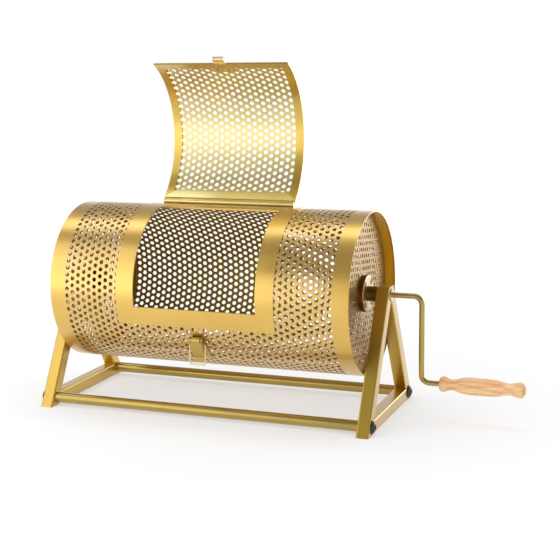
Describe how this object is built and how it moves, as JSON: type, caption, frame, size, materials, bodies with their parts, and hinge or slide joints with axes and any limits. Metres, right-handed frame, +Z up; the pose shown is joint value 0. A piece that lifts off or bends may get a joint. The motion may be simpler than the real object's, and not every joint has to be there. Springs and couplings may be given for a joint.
{
  "type": "raffle drum",
  "caption": "Tabletop raffle drum: perforated drum on an A-frame stand, with a hinged curved door, a toggle latch and a hand crank.",
  "frame": {"origin": "in the middle of the crank-side foot bar's underside, on the table, straight below the drum's axis", "axes": "+X along the drum's axis towards the crank, +Z up, -Y towards the side with the door opening and the latch"},
  "size_m": [0.7223, 0.2411, 0.5235],
  "materials": {
    "gold_metal": "satin",
    "pale_metal": "satin",
    "black_steel": "satin black",
    "grip_wood": "clear satin varnish"
  },
  "bodies": {
    "stand": {"front_cross_rod": "gold_metal", "rear_cross_rod": "gold_metal", "frame_bolts": "black_steel", "left_front_leg": "gold_metal", "left_rear_leg": "gold_metal", "left_foot_bar": "gold_metal", "left_apex_cap": "gold_metal", "left_bearing_sleeve": "gold_metal", "left_bearing_bush": "pale_metal", "right_front_leg": "gold_metal", "right_rear_leg": "gold_metal", "right_foot_bar": "gold_metal", "right_apex_cap": "gold_metal", "right_bearing_sleeve": "gold_metal", "right_bearing_bush": "pale_metal"},
    "drum": {"drum_shell": "gold_metal", "door_frame": "gold_metal", "left_end_disc": "gold_metal", "right_end_disc": "gold_metal", "left_hub": "pale_metal", "right_hub": "pale_metal", "hub_rivets": "pale_metal", "hub_set_screws": "black_steel", "left_axle": "gold_metal", "left_axle_cap": "gold_metal", "crank_rod": "gold_metal", "grip_washer": "pale_metal", "grip_end_cap": "pale_metal", "hinge_drum_leaf": "gold_metal", "hinge_pin": "gold_metal", "hinge_rivets": "gold_metal", "latch_base": "gold_metal", "latch_pivot_pin": "gold_metal", "latch_rivets": "gold_metal"},
    "door": {"door_panel": "gold_metal", "door_border_top": "gold_metal", "door_border_bottom": "gold_metal", "door_border_left": "gold_metal", "door_border_right": "gold_metal", "hinge_door_leaf": "gold_metal", "door_hook": "gold_metal", "hook_rivets": "gold_metal"},
    "latch_lever": {"latch_lever": "gold_metal"},
    "latch_bail": {"latch_bail": "gold_metal"},
    "grip": {"crank_grip": "grip_wood"}
  },
  "joints": [
    {"name": "drum_spin", "type": "hinge", "parent": "stand", "child": "drum", "pos_m": [-0.251, 0, 0.182], "axis": [1, 0, 0], "continuous": true},
    {"name": "door_hinge", "type": "hinge", "parent": "drum", "child": "door", "pos_m": [-0.251, 0.01632, 0.30593], "axis": [1, 0, 0], "range_deg": [0, 134]},
    {"name": "latch_lever_pivot", "type": "hinge", "parent": "drum", "child": "latch_lever", "pos_m": [-0.251, -0.11067, 0.12066], "axis": [-1, 0, 0], "range_deg": [0, 100]},
    {"name": "latch_bail_pivot", "type": "hinge", "parent": "latch_lever", "child": "latch_bail", "pos_m": [-0.251, -0.10716, 0.11347], "axis": [1, 0, 0], "range_deg": [-154, 20]},
    {"name": "grip_spin", "type": "hinge", "parent": "drum", "child": "grip", "pos_m": [0.143, 0, 0.0554], "axis": [1, 0, 0], "continuous": true}
  ]
}
